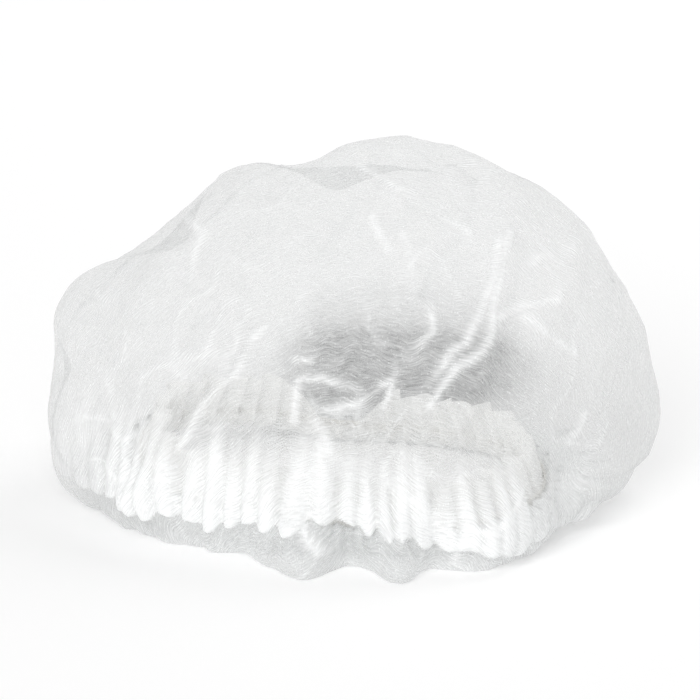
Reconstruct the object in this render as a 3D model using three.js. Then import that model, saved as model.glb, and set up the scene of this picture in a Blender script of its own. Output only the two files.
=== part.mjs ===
// Disposable bouffant hair cover: a puffed round of thin non-woven cloth whose edge
// is turned up over a flat elastic. It stands on its gathered rim, opening down.
// Millimetres, +Z up, +X to the viewer's right, -Y towards the viewer.

import * as THREE from 'three';

// Puffed crown
const CAP_WIDTH = 277;
const CAP_DEPTH = 244;
const CAP_HEIGHT = 169;
const CROWN_WALL = 1.2;
const TOP_RIGHT = 7; // the top's place, right of and behind the belly's middle
const TOP_BACK = 8;

// Rim loop that the head goes through, measured over the elastic
const RIM_WIDTH = 186;
const RIM_DEPTH = 150;
const RIM_LEFT = 5; // the loop's middle, left of and in front of the belly's
const RIM_FRONT = 4;

// Gathers
const PLEATS = 52;
const PLEAT_DEPTH = 6; // crest to trough, across the rim
const GATHER_REACH = 60; // the pleats fade out this far up the cloth
const SCALLOP = 3; // the fold's troughs stand this far above its crests
const PLEAT_DRIFT = 0.02; // radians by which the pleats crowd and spread

// Turned-up hem
const HEM_HEIGHT = 30;
const HEM_WALL = 1;
const HEM_RUFFLE = 6.5; // crest to trough of the free upper edge
const HEM_LEAN = 5; // the free edge stands this far in from its foot

// Elastic
const ELASTIC_UP = 9;
const ELASTIC_WIDTH = 3.2;
const ELASTIC_THICKNESS = 1.2;

const CLEARANCE = 0.3;
const FLOOR = 0;
const SETTLE = 3; // the puffed cloth has sunk this far, and lies flat where it met the floor

// Mesh rows, counted up the cloth, and how many dome rows keep every pleat's crest and trough
const GATHER_ROWS = 6;
const DOME_ROWS = 11;
const FULL_ROWS = 6;

// Crown by direction, in degrees seen from above: 0 right, 90 back, 180 left, 270 front.
// rim and belly are shares of the loop's and the crown's half sizes, lift and up are the
// fold's and the belly's heights as shares of CAP_HEIGHT, leaves is the slope in degrees at which the cloth
// leaves the elastic (minus where it droops to the surface that it rests on), hang is
// how full it droops between elastic and belly, and shoulder is the fullness above the
// belly: 0.55 is a plain ellipse.
const DIRECTIONS = [
  { at: 0, rim: 1.0, lift: 0.0, belly: 1.0, up: 0.24, leaves: 0, hang: 0.45, shoulder: 0.58 },
  { at: 30, rim: 1.02, lift: 0.0, belly: 0.99, up: 0.26, leaves: 15, hang: 0.45, shoulder: 0.51 },
  { at: 60, rim: 1.0, lift: 0.0, belly: 0.99, up: 0.28, leaves: 20, hang: 0.45, shoulder: 0.48 },
  { at: 90, rim: 1.0, lift: 0.0, belly: 0.98, up: 0.28, leaves: 20, hang: 0.45, shoulder: 0.5 },
  { at: 120, rim: 1.05, lift: 0.05, belly: 0.98, up: 0.28, leaves: -10, hang: 0.55, shoulder: 0.5 },
  { at: 150, rim: 1.08, lift: 0.07, belly: 0.99, up: 0.24, leaves: -40, hang: 0.65, shoulder: 0.5 },
  { at: 180, rim: 1.0, lift: 0.05, belly: 1.01, up: 0.2, leaves: -50, hang: 0.65, shoulder: 0.53 },
  { at: 210, rim: 0.95, lift: 0.02, belly: 0.94, up: 0.16, leaves: -65, hang: 0.72, shoulder: 0.56 },
  { at: 240, rim: 0.92, lift: 0.02, belly: 0.91, up: 0.13, leaves: -60, hang: 0.72, shoulder: 0.58 },
  { at: 270, rim: 0.97, lift: 0.0, belly: 0.93, up: 0.11, leaves: -55, hang: 0.75, shoulder: 0.6 },
  { at: 300, rim: 1.14, lift: 0.0, belly: 0.96, up: 0.12, leaves: -50, hang: 0.75, shoulder: 0.6 },
  { at: 325, rim: 1.1, lift: 0.0, belly: 0.97, up: 0.2, leaves: -20, hang: 0.55, shoulder: 0.62 },
];

// Round dents and swellings: at in degrees, up as a share of the way from the fold to
// the top, size as a share of CAP_WIDTH, depth as a share of CAP_HEIGHT (minus swells).
const DENTS = [
  { at: 180, up: 0.45, size: 0.075, depth: -0.07 },
  { at: 182, up: 0.35, size: 0.035, depth: 0.05 },
  { at: 170, up: 0.61, size: 0.06, depth: 0.11 },
  { at: 142, up: 0.79, size: 0.055, depth: -0.06 },
  { at: 120, up: 0.86, size: 0.08, depth: 0.16 },
  { at: 55, up: 0.8, size: 0.09, depth: 0.06 },
  { at: 90, up: 0.97, size: 0.06, depth: -0.05 },
  { at: 8, up: 0.5, size: 0.04, depth: 0.02 },
  { at: 252, up: 0.5, size: 0.09, depth: 0.03 },
  { at: 258, up: 0.21, size: 0.04, depth: -0.12 },
  { at: 267, up: 0.2, size: 0.02, depth: 0.1 },
  { at: 277, up: 0.21, size: 0.032, depth: -0.14 },
  { at: 300, up: 0.2, size: 0.07, depth: -0.08 },
  { at: 322, up: 0.2, size: 0.025, depth: 0.06 },
];

// Long soft folds, from one place on the crown to another, with their half width as a
// share of CAP_WIDTH and their height as a share of CAP_HEIGHT (minus sinks in).
const FOLDS = [
  { at: 318, up: 0.66, to: 296, toUp: 0.42, width: 0.018, height: 0.03 },
  { at: 296, up: 0.42, to: 284, toUp: 0.3, width: 0.018, height: 0.03 },
  { at: 20, up: 0.92, to: -35, toUp: 0.7, width: 0.035, height: 0.025 },
  { at: 235, up: 0.44, to: 218, toUp: 0.22, width: 0.02, height: 0.03 },
  { at: 345, up: 0.6, to: 318, toUp: 0.5, width: 0.02, height: 0.02 },
  { at: 200, up: 0.8, to: 205, toUp: 0.5, width: 0.03, height: 0.02 },
];

const turn = (degrees) => (degrees * Math.PI) / 180;
const bulge = (distance, size) => Math.exp(-0.5 * (distance / size) ** 2);

// Smooth closed curve through one column of the directions, at an angle in radians
function around(column, angle) {
  const degrees = ((angle * 180) / Math.PI + 720) % 360;
  const count = DIRECTIONS.length;
  const row = (i) => ({
    at: DIRECTIONS[(i + count) % count].at + 360 * Math.floor(i / count),
    value: DIRECTIONS[(i + count) % count][column],
  });
  let i = 0;
  while (row(i + 1).at <= degrees) i += 1;
  const [before, from, to, after] = [row(i - 1), row(i), row(i + 1), row(i + 2)];
  const span = to.at - from.at;
  const t = (degrees - from.at) / span;
  const slopeFrom = ((to.value - before.value) / (to.at - before.at)) * span;
  const slopeTo = ((after.value - from.value) / (after.at - from.at)) * span;
  return (2 * t ** 3 - 3 * t ** 2 + 1) * from.value + (t ** 3 - 2 * t ** 2 + t) * slopeFrom
    + (3 * t ** 2 - 2 * t ** 3) * to.value + (t ** 3 - t ** 2) * slopeTo;
}

// Pleats. A station runs from 0 to 1 once round the rim, and the crests fall on whole pleats.
const angleAt = (station) => 2 * Math.PI * station
  + PLEAT_DRIFT * (Math.sin(6 * Math.PI * station) + 0.6 * Math.sin(14 * Math.PI * station));
const wave = (station) => Math.cos(2 * Math.PI * PLEATS * station);
const uneven = (station) => 0.88 + 0.12 * Math.sin(2.4 * Math.round(2 * PLEATS * station));
const outward = (angle) => new THREE.Vector3(Math.cos(angle), Math.sin(angle), 0);

function ellipseReach(angle, width, depth) {
  return 1 / Math.hypot((2 * Math.cos(angle)) / width, (2 * Math.sin(angle)) / depth);
}

// A place over the rim loop: its offset outwards from the elastic's middle, and its height
function rimPoint(station, offset, height) {
  const angle = angleAt(station);
  const reach = around('rim', angle) * ellipseReach(angle, RIM_WIDTH, RIM_DEPTH) + offset;
  const level = Math.max(around('lift', angle), 0) * CAP_HEIGHT + height;
  return outward(angle).multiplyScalar(reach).add(new THREE.Vector3(-RIM_LEFT, -RIM_FRONT, level));
}

// Room that a thickness takes across the rim where it follows a pleat's slanting side
function across(station, thickness) {
  const half = 0.5 / PLEATS;
  const pitch = rimPoint(station - half, 0, 0).distanceTo(rimPoint(station + half, 0, 0));
  return (thickness * Math.hypot(PLEAT_DEPTH, pitch / 2)) / (pitch / 2);
}

const foldHeight = (station) => (SCALLOP * (1 - wave(station))) / 2;
const elasticSide = ELASTIC_THICKNESS / 2 + CLEARANCE;
// The channel's walls run straight from a little below the elastic to its upper edge
const channelFoot = ELASTIC_UP - ELASTIC_WIDTH;
const channelTop = ELASTIC_UP + ELASTIC_WIDTH / 2;
const pleatAt = (station) => (PLEAT_DEPTH / 2) * uneven(station);

// One line of cloth from the fold, over the elastic, out to the belly and up to the top
function clothLine(station) {
  const angle = angleAt(station);
  const out = outward(angle);
  const up = new THREE.Vector3(0, 0, 1);
  const offset = elasticSide + across(station, CROWN_WALL + CLEARANCE / 2) + PLEAT_DEPTH / 2;
  const fold = rimPoint(station, 0, foldHeight(station));
  const waist = rimPoint(station, offset, channelFoot);
  const rise = rimPoint(station, offset, channelTop);
  const bellyReach = around('belly', angle) * ellipseReach(angle, CAP_WIDTH, CAP_DEPTH);
  const belly = out.clone().multiplyScalar(bellyReach).setZ(around('up', angle) * CAP_HEIGHT);
  const top = new THREE.Vector3(TOP_RIGHT, TOP_BACK, CAP_HEIGHT);
  const leaves = turn(around('leaves', angle));
  const arm = around('hang', angle) * rise.distanceTo(belly);
  const fullness = around('shoulder', angle);
  const path = new THREE.CurvePath();
  path.add(new THREE.CubicBezierCurve3(
    rise,
    rise.clone().addScaledVector(out, arm * Math.cos(leaves)).addScaledVector(up, arm * Math.sin(leaves)),
    belly.clone().addScaledVector(up, -arm),
    belly,
  ));
  path.add(new THREE.CubicBezierCurve3(
    belly,
    belly.clone().addScaledVector(up, fullness * (top.z - belly.z)),
    top.clone().addScaledVector(out, fullness * bellyReach),
    top,
  ));
  const channel = fold.distanceTo(waist);
  const hem = channel + waist.distanceTo(rise);
  return { path, angle, fold, waist, rise, channel, hem, total: hem + path.getLength() };
}

// The unwrinkled cloth at a length up from the fold
function smoothPoint(line, length) {
  const { fold, waist, rise, channel, hem } = line;
  if (length <= channel) return fold.clone().lerp(waist, length / channel);
  if (length <= hem) return waist.clone().lerp(rise, (length - channel) / (hem - channel));
  return line.path.getPoint(Math.min((length - hem) / (line.total - hem), 1));
}

// A place on the unwrinkled cloth, by direction and share of the way from fold to top
function placeOn(degrees, share) {
  const line = clothLine(degrees / 360);
  return smoothPoint(line, share * line.total);
}

const core = new THREE.Vector3(0, 0, 0.3 * CAP_HEIGHT);
const FOLD_STEPS = 8;
const dents = DENTS.map((dent) => ({ ...dent, centre: placeOn(dent.at, dent.up) }));
const folds = FOLDS.map((fold) => ({
  ...fold,
  points: Array.from({ length: FOLD_STEPS + 1 }, (_, i) => {
    const t = i / FOLD_STEPS;
    return placeOn(fold.at + (fold.to - fold.at) * t, fold.up + (fold.toUp - fold.up) * t);
  }),
}));

// How far the dents and folds push the smooth surface out at a point
function wrinkle(point) {
  let push = 0;
  for (const dent of dents) {
    push -= dent.depth * CAP_HEIGHT * bulge(point.distanceTo(dent.centre), dent.size * CAP_WIDTH);
  }
  const nearest = new THREE.Vector3();
  for (const fold of folds) {
    let distance = Infinity;
    for (let i = 0; i < FOLD_STEPS; i += 1) {
      new THREE.Line3(fold.points[i], fold.points[i + 1]).closestPointToPoint(point, true, nearest);
      distance = Math.min(distance, nearest.distanceTo(point));
    }
    push += fold.height * CAP_HEIGHT * bulge(distance, fold.width * CAP_WIDTH);
  }
  return push;
}

// A point of the finished outer surface, at a length up the cloth line
function crownPoint(line, station, length) {
  const point = smoothPoint(line, length);
  const out = outward(line.angle);
  const beyond = length - line.hem;
  const fade = THREE.MathUtils.smoothstep(beyond, 0, GATHER_REACH - line.hem);
  let lift = out;
  if (beyond > 1) {
    const along = smoothPoint(line, length + 1).sub(smoothPoint(line, length - 1));
    lift = new THREE.Vector3(-Math.sin(line.angle), Math.cos(line.angle), 0).cross(along).normalize();
  }
  const free = THREE.MathUtils.smoothstep(beyond, 0, GATHER_REACH / 2);
  const push = wrinkle(point) * free;
  point.addScaledVector(lift, pleatAt(station) * wave(station) * (1 - fade));
  point.addScaledVector(point.clone().sub(core).normalize(), push);
  return point.setZ(Math.max(point.z - SETTLE * free, FLOOR));
}

// Triangles between neighbouring rings of equal, halved or single-point length
function joinRings(rings, closed) {
  const starts = [];
  const positions = [];
  for (const ring of rings) {
    starts.push(positions.length / 3);
    for (const point of ring) positions.push(point.x, point.y, point.z);
  }
  const index = [];
  const pairs = closed ? rings.length : rings.length - 1;
  for (let r = 0; r < pairs; r += 1) {
    const next = (r + 1) % rings.length;
    const [low, high] = [rings[r].length, rings[next].length];
    const a = (k) => starts[r] + (k % low);
    const b = (k) => starts[next] + (k % high);
    if (low === 1 && high === 1) continue;
    if (high === 1) for (let k = 0; k < low; k += 1) index.push(a(k), a(k + 1), b(0));
    else if (low === 1) for (let k = 0; k < high; k += 1) index.push(a(0), b(k + 1), b(k));
    else if (low === high) {
      for (let k = 0; k < low; k += 1) index.push(a(k), a(k + 1), b(k + 1), a(k), b(k + 1), b(k));
    } else if (low > high) {
      for (let k = 0; k < high; k += 1) {
        index.push(a(2 * k), a(2 * k + 1), b(k), a(2 * k + 1), b(k + 1), b(k));
        index.push(a(2 * k + 1), a(2 * k + 2), b(k + 1));
      }
    } else {
      for (let k = 0; k < low; k += 1) {
        index.push(a(k), b(2 * k + 1), b(2 * k), a(k), a(k + 1), b(2 * k + 1));
        index.push(a(k + 1), b(2 * k + 2), b(2 * k + 1));
      }
    }
  }
  const geometry = new THREE.BufferGeometry();
  geometry.setAttribute('position', new THREE.Float32BufferAttribute(positions, 3));
  geometry.setIndex(index);
  return geometry;
}

// The same rings moved inwards by an even wall, measured square to the surface
function wallInside(rings, wall) {
  const sheet = joinRings(rings, false);
  sheet.computeVertexNormals();
  const { position, normal } = sheet.attributes;
  const corners = sheet.index;
  const slant = new Float64Array(position.count);
  const faces = new Float64Array(position.count);
  const triangle = new THREE.Triangle();
  const facing = new THREE.Vector3();
  const mean = new THREE.Vector3();
  for (let f = 0; f < corners.count; f += 3) {
    const [i, j, k] = [corners.getX(f), corners.getX(f + 1), corners.getX(f + 2)];
    triangle.setFromAttributeAndIndices(position, i, j, k).getNormal(facing);
    for (const v of [i, j, k]) {
      slant[v] += mean.fromBufferAttribute(normal, v).dot(facing);
      faces[v] += 1;
    }
  }
  let v = 0;
  return rings.map((ring) => ring.map((point) => {
    mean.fromBufferAttribute(normal, v);
    const depth = wall / Math.max(slant[v] / faces[v], 0.5);
    v += 1;
    const inside = point.clone().addScaledVector(mean, -depth);
    return inside.setZ(Math.max(inside.z, FLOOR));
  }));
}

const stations = (count) => Array.from({ length: count }, (_, k) => k / count);

function crownGeometry() {
  const lines = stations(2 * PLEATS).map((station) => ({ station, ...clothLine(station) }));
  const outer = [];
  const ring = (every, lengthOf) => outer.push(
    lines.filter((_, k) => k % every === 0).map((line) => crownPoint(line, line.station, lengthOf(line))),
  );
  ring(1, () => 0);
  ring(1, (line) => line.channel);
  for (let r = 0; r <= GATHER_ROWS; r += 1) {
    ring(1, (line) => line.hem + ((GATHER_REACH - line.hem) * r) / GATHER_ROWS);
  }
  for (let r = 1; r < DOME_ROWS; r += 1) {
    ring(r < FULL_ROWS ? 1 : 2, (line) => GATHER_REACH + ((line.total - GATHER_REACH) * r) / DOME_ROWS);
  }
  outer.push([crownPoint(lines[0], 0, lines[0].total)]);
  const inner = wallInside(outer, CROWN_WALL);
  return joinRings([...outer, ...inner.reverse()], true);
}

function hemGeometry() {
  const foot = (s) => pleatAt(s) * wave(s) - across(s, CROWN_WALL + CLEARANCE);
  const waist = (s) => pleatAt(s) * (wave(s) - 1) - elasticSide;
  const edge = (s) => (HEM_RUFFLE / 2) * (uneven(s) * wave(s) - 1) - elasticSide - HEM_LEAN;
  const outer = [
    stations(2 * PLEATS).map((s) => rimPoint(s, foot(s), foldHeight(s))),
    stations(2 * PLEATS).map((s) => rimPoint(s, waist(s), channelFoot)),
    stations(2 * PLEATS).map((s) => rimPoint(s, waist(s), channelTop)),
    stations(2 * PLEATS).map((s) => rimPoint(s, edge(s), HEM_HEIGHT * (1 + uneven(s)) / 2)),
  ];
  const inner = wallInside(outer, HEM_WALL);
  return joinRings([...outer, ...inner.reverse()], true);
}

function elasticGeometry() {
  const corner = (side, level) => stations(2 * PLEATS).map((s) => rimPoint(
    s,
    (side * ELASTIC_THICKNESS) / 2,
    ELASTIC_UP + (level * ELASTIC_WIDTH) / 2,
  ));
  return joinRings([corner(1, -1), corner(1, 1), corner(-1, 1), corner(-1, -1)], true);
}

function piece(name, geometry, colour, roughness) {
  const material = new THREE.MeshStandardMaterial({ color: colour, roughness, metalness: 0 });
  const mesh = new THREE.Mesh(geometry, material);
  mesh.name = name;
  return mesh;
}

const cap = new THREE.Group();
cap.add(piece('crown', crownGeometry(), '#f4f5f5', 0.75));
cap.add(piece('hem_band', hemGeometry(), '#f7f7f6', 0.75));
cap.add(piece('elastic_band', elasticGeometry(), '#e9e7e2', 0.6));

// The origin is on the floor, under the middle of the whole cap
const middle = new THREE.Box3().setFromObject(cap).getCenter(new THREE.Vector3());
cap.position.set(-middle.x, -middle.y, 0);
cap.updateMatrixWorld(true);

export default cap;
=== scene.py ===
"""Disposable bouffant hair cover, puffed up and standing on its gathered rim.

The cut round of spunbond cloth, its turned-up hem, the elastic and the stitching are
made here in metres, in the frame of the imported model, then lit on a plain pale floor.
"""

import math

import bpy
import numpy as np
from bpy.props import FloatProperty, FloatVectorProperty, IntProperty, PointerProperty
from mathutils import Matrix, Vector, noise


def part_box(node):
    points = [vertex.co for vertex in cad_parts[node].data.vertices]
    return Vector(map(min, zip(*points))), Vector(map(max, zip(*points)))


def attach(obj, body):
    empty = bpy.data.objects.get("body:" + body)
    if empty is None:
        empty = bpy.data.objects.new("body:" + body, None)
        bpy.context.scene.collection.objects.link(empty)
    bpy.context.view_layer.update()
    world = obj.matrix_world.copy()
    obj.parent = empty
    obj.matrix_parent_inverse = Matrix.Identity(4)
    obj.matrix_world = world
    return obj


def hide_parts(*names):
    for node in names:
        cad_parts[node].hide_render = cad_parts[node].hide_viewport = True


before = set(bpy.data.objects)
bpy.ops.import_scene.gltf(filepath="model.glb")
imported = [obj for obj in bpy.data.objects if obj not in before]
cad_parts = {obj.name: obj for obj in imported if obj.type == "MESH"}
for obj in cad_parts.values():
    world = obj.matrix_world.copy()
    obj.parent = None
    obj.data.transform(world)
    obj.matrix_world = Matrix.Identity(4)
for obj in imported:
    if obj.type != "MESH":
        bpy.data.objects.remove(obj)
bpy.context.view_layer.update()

bl_info = {
    "name": "Disposable Hair Cover",
    "version": (1, 0, 0),
    "blender": (4, 5, 0),
    "location": "3D View > Sidebar > Hair Cover",
    "description": "A gathered non-woven hair cover with its hem, elastic, stitching and stage",
    "category": "Add Mesh",
}

ELASTIC_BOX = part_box("elastic_band")
MM = 0.001

# Places that shape the cloth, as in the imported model
TOP = (0.007, 0.008)
RIM_MIDDLE = (-0.005, -0.004)
PLEAT_DRIFT = 0.02
SCALLOP = 3 * MM
ELASTIC_UP = 9 * MM
ELASTIC_WIDTH = 3.2 * MM
ELASTIC_THICKNESS = 1.2 * MM
CLEARANCE = 0.3 * MM
SETTLE = 3 * MM
ELASTIC_SIDE = ELASTIC_THICKNESS / 2 + CLEARANCE
CHANNEL_FOOT = ELASTIC_UP - ELASTIC_WIDTH
CHANNEL_TOP = ELASTIC_UP + ELASTIC_WIDTH / 2

# The flat cut, as its cloth's pattern is laid: radius to the fold, and the turned-up edge
CUT_RADIUS = 0.25
HEM_CUT = 0.032

# Crown by direction, in degrees seen from above: 0 right, 90 back, 180 left, 270 front.
# rim and belly are shares of the loop's and the crown's half sizes, lift and up are
# heights as shares of the cap's, leaves is the slope at which the cloth leaves the
# elastic, hang how full it droops below the belly and shoulder how full it is above.
DIRECTIONS = [
    {"at": 0, "rim": 1.0, "lift": 0.0, "belly": 1.0, "up": 0.24, "leaves": 0, "hang": 0.45, "shoulder": 0.58},
    {"at": 30, "rim": 1.02, "lift": 0.0, "belly": 0.99, "up": 0.26, "leaves": 15, "hang": 0.45, "shoulder": 0.51},
    {"at": 60, "rim": 1.0, "lift": 0.0, "belly": 0.99, "up": 0.28, "leaves": 20, "hang": 0.45, "shoulder": 0.48},
    {"at": 90, "rim": 1.0, "lift": 0.0, "belly": 0.98, "up": 0.28, "leaves": 20, "hang": 0.45, "shoulder": 0.5},
    {"at": 120, "rim": 1.05, "lift": 0.05, "belly": 0.98, "up": 0.28, "leaves": -10, "hang": 0.55, "shoulder": 0.5},
    {"at": 150, "rim": 1.08, "lift": 0.07, "belly": 0.99, "up": 0.24, "leaves": -40, "hang": 0.65, "shoulder": 0.5},
    {"at": 180, "rim": 1.0, "lift": 0.05, "belly": 1.01, "up": 0.2, "leaves": -50, "hang": 0.65, "shoulder": 0.53},
    {"at": 210, "rim": 0.95, "lift": 0.02, "belly": 0.94, "up": 0.16, "leaves": -65, "hang": 0.72, "shoulder": 0.56},
    {"at": 240, "rim": 0.92, "lift": 0.02, "belly": 0.91, "up": 0.13, "leaves": -60, "hang": 0.72, "shoulder": 0.58},
    {"at": 270, "rim": 0.97, "lift": 0.0, "belly": 0.93, "up": 0.11, "leaves": -55, "hang": 0.75, "shoulder": 0.6},
    {"at": 300, "rim": 1.14, "lift": 0.0, "belly": 0.96, "up": 0.12, "leaves": -50, "hang": 0.75, "shoulder": 0.6},
    {"at": 325, "rim": 1.1, "lift": 0.0, "belly": 0.97, "up": 0.2, "leaves": -20, "hang": 0.55, "shoulder": 0.62},
]

# Round dents and swellings: up is the share of the way from the fold to the top, size
# a share of the cap's width and depth a share of its height (minus swells).
DENTS = [
    {"at": 180, "up": 0.45, "size": 0.075, "depth": -0.07},
    {"at": 182, "up": 0.35, "size": 0.035, "depth": 0.05},
    {"at": 170, "up": 0.61, "size": 0.06, "depth": 0.11},
    {"at": 142, "up": 0.79, "size": 0.055, "depth": -0.04},
    {"at": 120, "up": 0.86, "size": 0.08, "depth": 0.16},
    {"at": 150, "up": 0.955, "size": 0.045, "depth": -0.024},
    {"at": 55, "up": 0.8, "size": 0.09, "depth": 0.06},
    {"at": 90, "up": 0.97, "size": 0.06, "depth": -0.05},
    {"at": 8, "up": 0.5, "size": 0.04, "depth": 0.02},
    {"at": 252, "up": 0.5, "size": 0.09, "depth": 0.03},
    {"at": 258, "up": 0.21, "size": 0.04, "depth": -0.12},
    {"at": 267, "up": 0.2, "size": 0.02, "depth": 0.1},
    {"at": 277, "up": 0.21, "size": 0.032, "depth": -0.14},
    {"at": 300, "up": 0.2, "size": 0.07, "depth": -0.08},
    {"at": 322, "up": 0.2, "size": 0.025, "depth": 0.06},
]

# Long soft folds, from one place on the crown to another: width is a half width as a
# share of the cap's width, height a share of its height.
FOLDS = [
    {"at": 318, "up": 0.66, "to": 296, "to_up": 0.42, "width": 0.018, "height": 0.03},
    {"at": 296, "up": 0.42, "to": 284, "to_up": 0.3, "width": 0.018, "height": 0.03},
    {"at": 20, "up": 0.92, "to": -35, "to_up": 0.7, "width": 0.035, "height": 0.025},
    {"at": 235, "up": 0.44, "to": 218, "to_up": 0.22, "width": 0.02, "height": 0.03},
    {"at": 345, "up": 0.6, "to": 318, "to_up": 0.5, "width": 0.02, "height": 0.02},
    {"at": 200, "up": 0.8, "to": 205, "to_up": 0.5, "width": 0.03, "height": 0.02},
]

# Sharp creases along a path of places, each a direction and a share of the way up, with
# widths and heights as for the folds
CREASES = [
    {"path": [(321, 0.67), (311, 0.6), (306, 0.54), (301, 0.5), (289, 0.455), (287, 0.43)],
     "width": 0.006, "height": 0.016},
    {"path": [(316, 0.66), (306, 0.58), (298, 0.52), (290, 0.48), (284, 0.46)],
     "width": 0.006, "height": 0.01},
    {"path": [(262, 0.9), (280, 0.86), (298, 0.8), (308, 0.71)], "width": 0.01, "height": 0.012},
    {"path": [(272, 0.78), (277, 0.71)], "width": 0.004, "height": 0.005},
    {"path": [(285, 0.73), (288, 0.64)], "width": 0.004, "height": 0.006},
    {"path": [(289, 0.6), (290, 0.55), (284, 0.51)], "width": 0.004, "height": 0.006},
    {"path": [(318, 0.6), (335, 0.6), (344, 0.61)], "width": 0.005, "height": 0.008},
    {"path": [(330, 0.59), (324, 0.53)], "width": 0.005, "height": 0.008},
    {"path": [(308, 0.535), (323, 0.535)], "width": 0.005, "height": 0.008},
    {"path": [(315, 0.52), (327, 0.44)], "width": 0.006, "height": 0.008},
    {"path": [(262, 0.445), (276, 0.48), (287, 0.525)], "width": 0.005, "height": 0.01},
    {"path": [(277, 0.48), (275, 0.445)], "width": 0.003, "height": 0.005},
    {"path": [(243, 0.55), (240, 0.51), (234, 0.41), (229, 0.34)], "width": 0.008, "height": 0.018},
    {"path": [(255, 0.48), (264, 0.495), (268, 0.48)], "width": 0.004, "height": 0.006},
    {"path": [(252, 0.515), (256, 0.52)], "width": 0.004, "height": 0.006},
    {"path": [(326, 0.34), (322, 0.3)], "width": 0.006, "height": 0.01},
    {"path": [(160, 0.73), (210, 0.67), (216, 0.58)], "width": 0.008, "height": 0.01},
    {"path": [(204, 0.375), (207, 0.34)], "width": 0.004, "height": 0.006},
    {"path": [(260, 0.42), (262, 0.37), (264, 0.35)], "width": 0.004, "height": 0.008},
    {"path": [(254, 0.47), (255, 0.42)], "width": 0.004, "height": 0.006},
    {"path": [(258, 0.265), (260, 0.24), (264, 0.222), (271, 0.224), (276, 0.25)],
     "width": 0.006, "height": 0.014},
    {"path": [(40, 0.8), (60, 0.55), (75, 0.35)], "width": 0.008, "height": 0.012},
    {"path": [(120, 0.7), (135, 0.45)], "width": 0.007, "height": 0.01},
    {"path": [(85, 0.62), (100, 0.4)], "width": 0.006, "height": 0.01},
    {"path": [(10, 0.5), (30, 0.35)], "width": 0.006, "height": 0.01},
    {"path": [(150, 0.5), (168, 0.34)], "width": 0.006, "height": 0.01},
    {"path": [(60, 0.75), (95, 0.68)], "width": 0.006, "height": 0.01},
]

# Ruffle over the front of the rim, where the gathered cloth stands out as a band of
# close pleats: its scalloped lower edge and its upper edge as shares of the way from
# the fold to the top, how full it stands there and how deep its pleats are.
RUFFLE = [
    {"at": 0, "foot": 0.15, "head": 0.25, "full": 0, "pleats": 0.4},
    {"at": 120, "foot": 0.2, "head": 0.32, "full": 0, "pleats": 1},
    {"at": 185, "foot": 0.2, "head": 0.33, "full": 0.1, "pleats": 1},
    {"at": 205, "foot": 0.2, "head": 0.36, "full": 0.65, "pleats": 1},
    {"at": 222, "foot": 0.205, "head": 0.355, "full": 1, "pleats": 1},
    {"at": 240, "foot": 0.21, "head": 0.355, "full": 1, "pleats": 1},
    {"at": 254, "foot": 0.245, "head": 0.365, "full": 1, "pleats": 1},
    {"at": 264, "foot": 0.26, "head": 0.37, "full": 1, "pleats": 1},
    {"at": 280, "foot": 0.235, "head": 0.34, "full": 1, "pleats": 0.7},
    {"at": 296, "foot": 0.185, "head": 0.3, "full": 1, "pleats": 0.28},
    {"at": 312, "foot": 0.165, "head": 0.27, "full": 0.8, "pleats": 0.2},
    {"at": 332, "foot": 0.15, "head": 0.25, "full": 0, "pleats": 0.2},
]

# The back hem's free edge droops round one direction, by a share of its height
DROOP = {"at": 91, "half": 15, "drop": 0.55}

# How far the creases stray, over what length, and from which start of the noise
STRAY = 0.005
STRAY_LENGTH = 0.024
NOISE_SEED = 3
# Half width of the line along a crease where the cloth lies doubled and is drawn
# denser and whiter, partly as a painted highlight
CREASE_LINE = 1.5 * MM
# Lengths of the crumples, broad and fine, and of the patches that show them
CRUMPLE_LENGTHS = (0.026, 0.011, 0.04)
# Swell of the softer folds that the gathers run into, middling and broad
SOFT_FOLDS = (0.0014, 0.0018)
# How far the ruffle stands out, and how deep its pleats are
RUFFLE_STAND = 0.003
RUFFLE_PLEAT = 0.0017

PLEAT_STATIONS = 16
# Rows of the crown's mesh: how many up to each length of cloth, closest at the ruffle,
# and then up the dome, where every second station is enough
ROWS = [
    {"to": 0.035, "rows": 10},
    {"to": 0.08, "rows": 42},
]
CHANNEL_ROWS = 4
DOME_ROWS = 100

# The photograph looks 18 degrees down, from so far that lines hardly converge, and its
# frame spans 0.3218 m at the middle of the cover.
VIEW_TILT = math.radians(18)
VIEW_DISTANCE = 8.0
VIEW_SPAN = 0.3218
VIEW_AIM = (-0.00115, 0, 0.0711)
FLOOR_RADIUS = 20
KEY_FROM = (-0.4, -1.6, 1.15)
FILL_FROM = (1.2, 1.1, 1.8)
LOW_FROM = (-0.7, -2.1, 0.2)


def linear(hex_colour):
    """An sRGB hex colour as linear red, green and blue."""
    parts = [int(hex_colour[i : i + 2], 16) / 255 for i in (1, 3, 5)]
    return tuple(c / 12.92 if c <= 0.04045 else ((c + 0.055) / 1.055) ** 2.4 for c in parts)


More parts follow.
